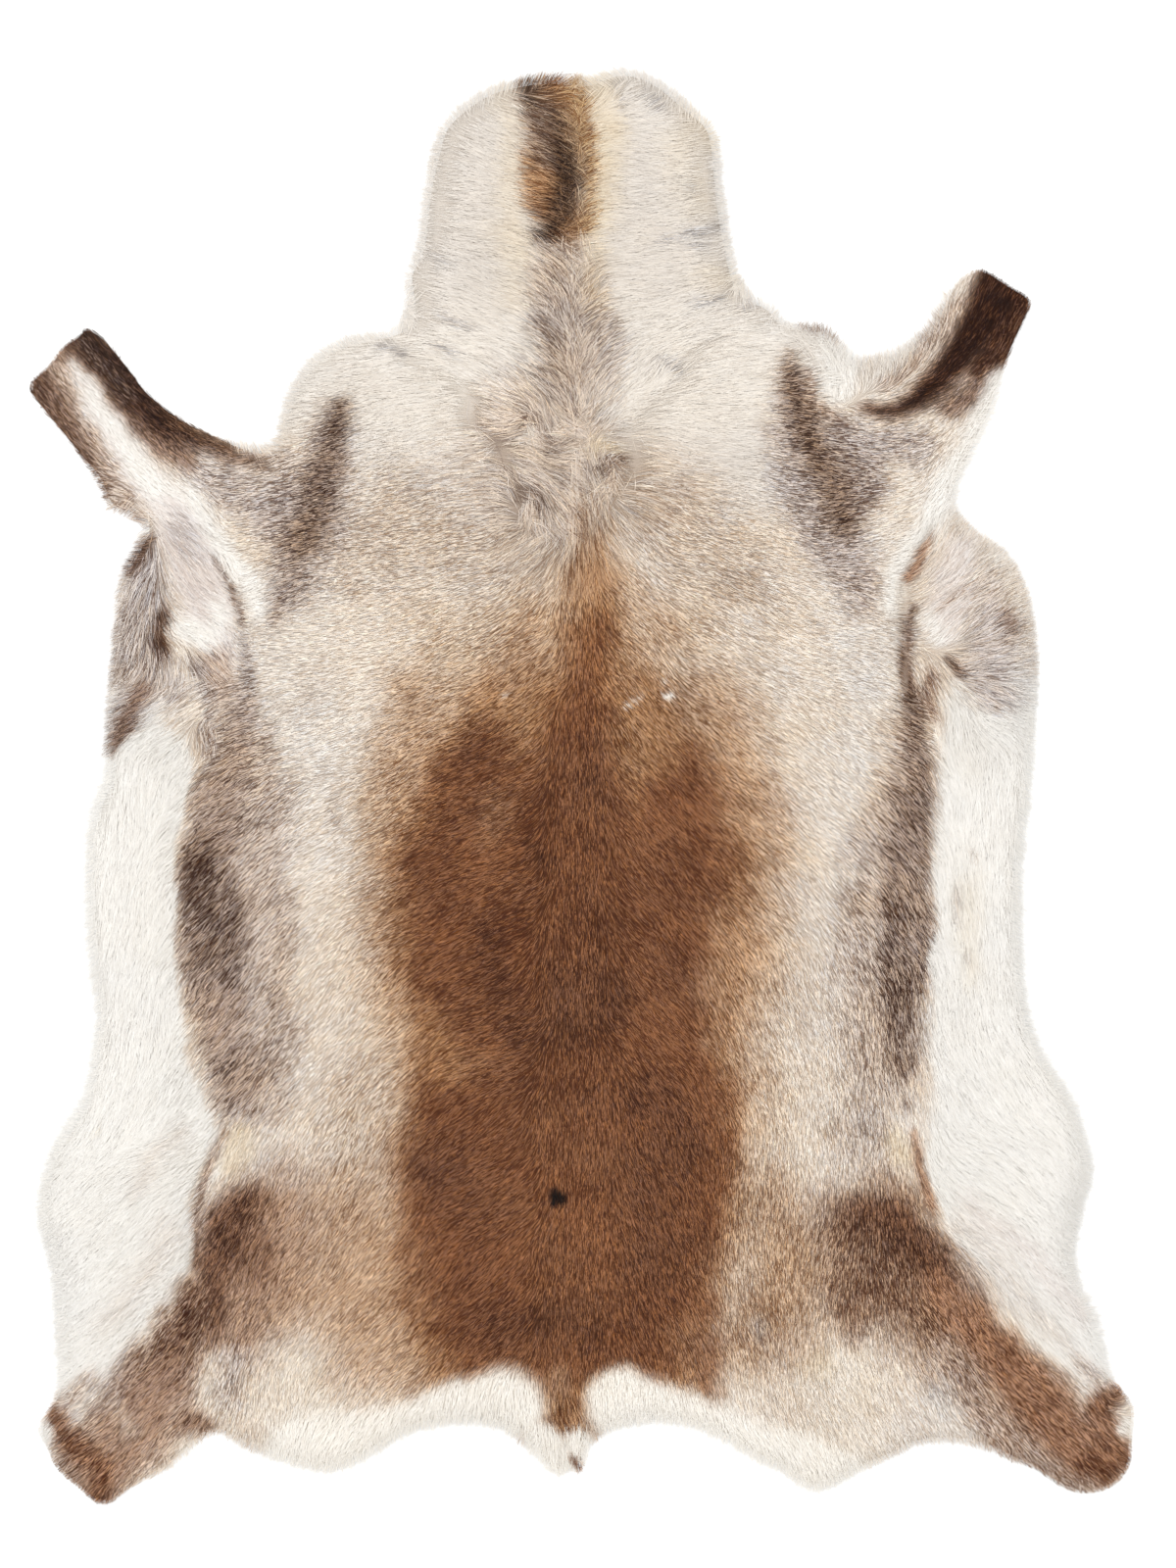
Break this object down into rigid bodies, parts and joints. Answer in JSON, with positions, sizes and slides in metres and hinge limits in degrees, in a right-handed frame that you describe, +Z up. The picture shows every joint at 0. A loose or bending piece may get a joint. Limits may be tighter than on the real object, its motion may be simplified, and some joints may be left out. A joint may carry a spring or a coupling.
{
  "type": "reindeer hide",
  "caption": "Whole reindeer hide with the hair on, trimmed with its neck, legs and tail, lying flat as a rug or throw.",
  "frame": {"origin": "on the flesh side, in the middle of the hide's length and width", "axes": "+Y along the spine towards the neck, +Z up out of the hair side, +X the hide's right side"},
  "size_m": [0.9936, 1.2898, 0.026],
  "materials": {
    "fur": "brushed pile",
    "flesh_side": "suede"
  },
  "bodies": {
    "root": {"hide": "fur"}
  },
  "joints": []
}
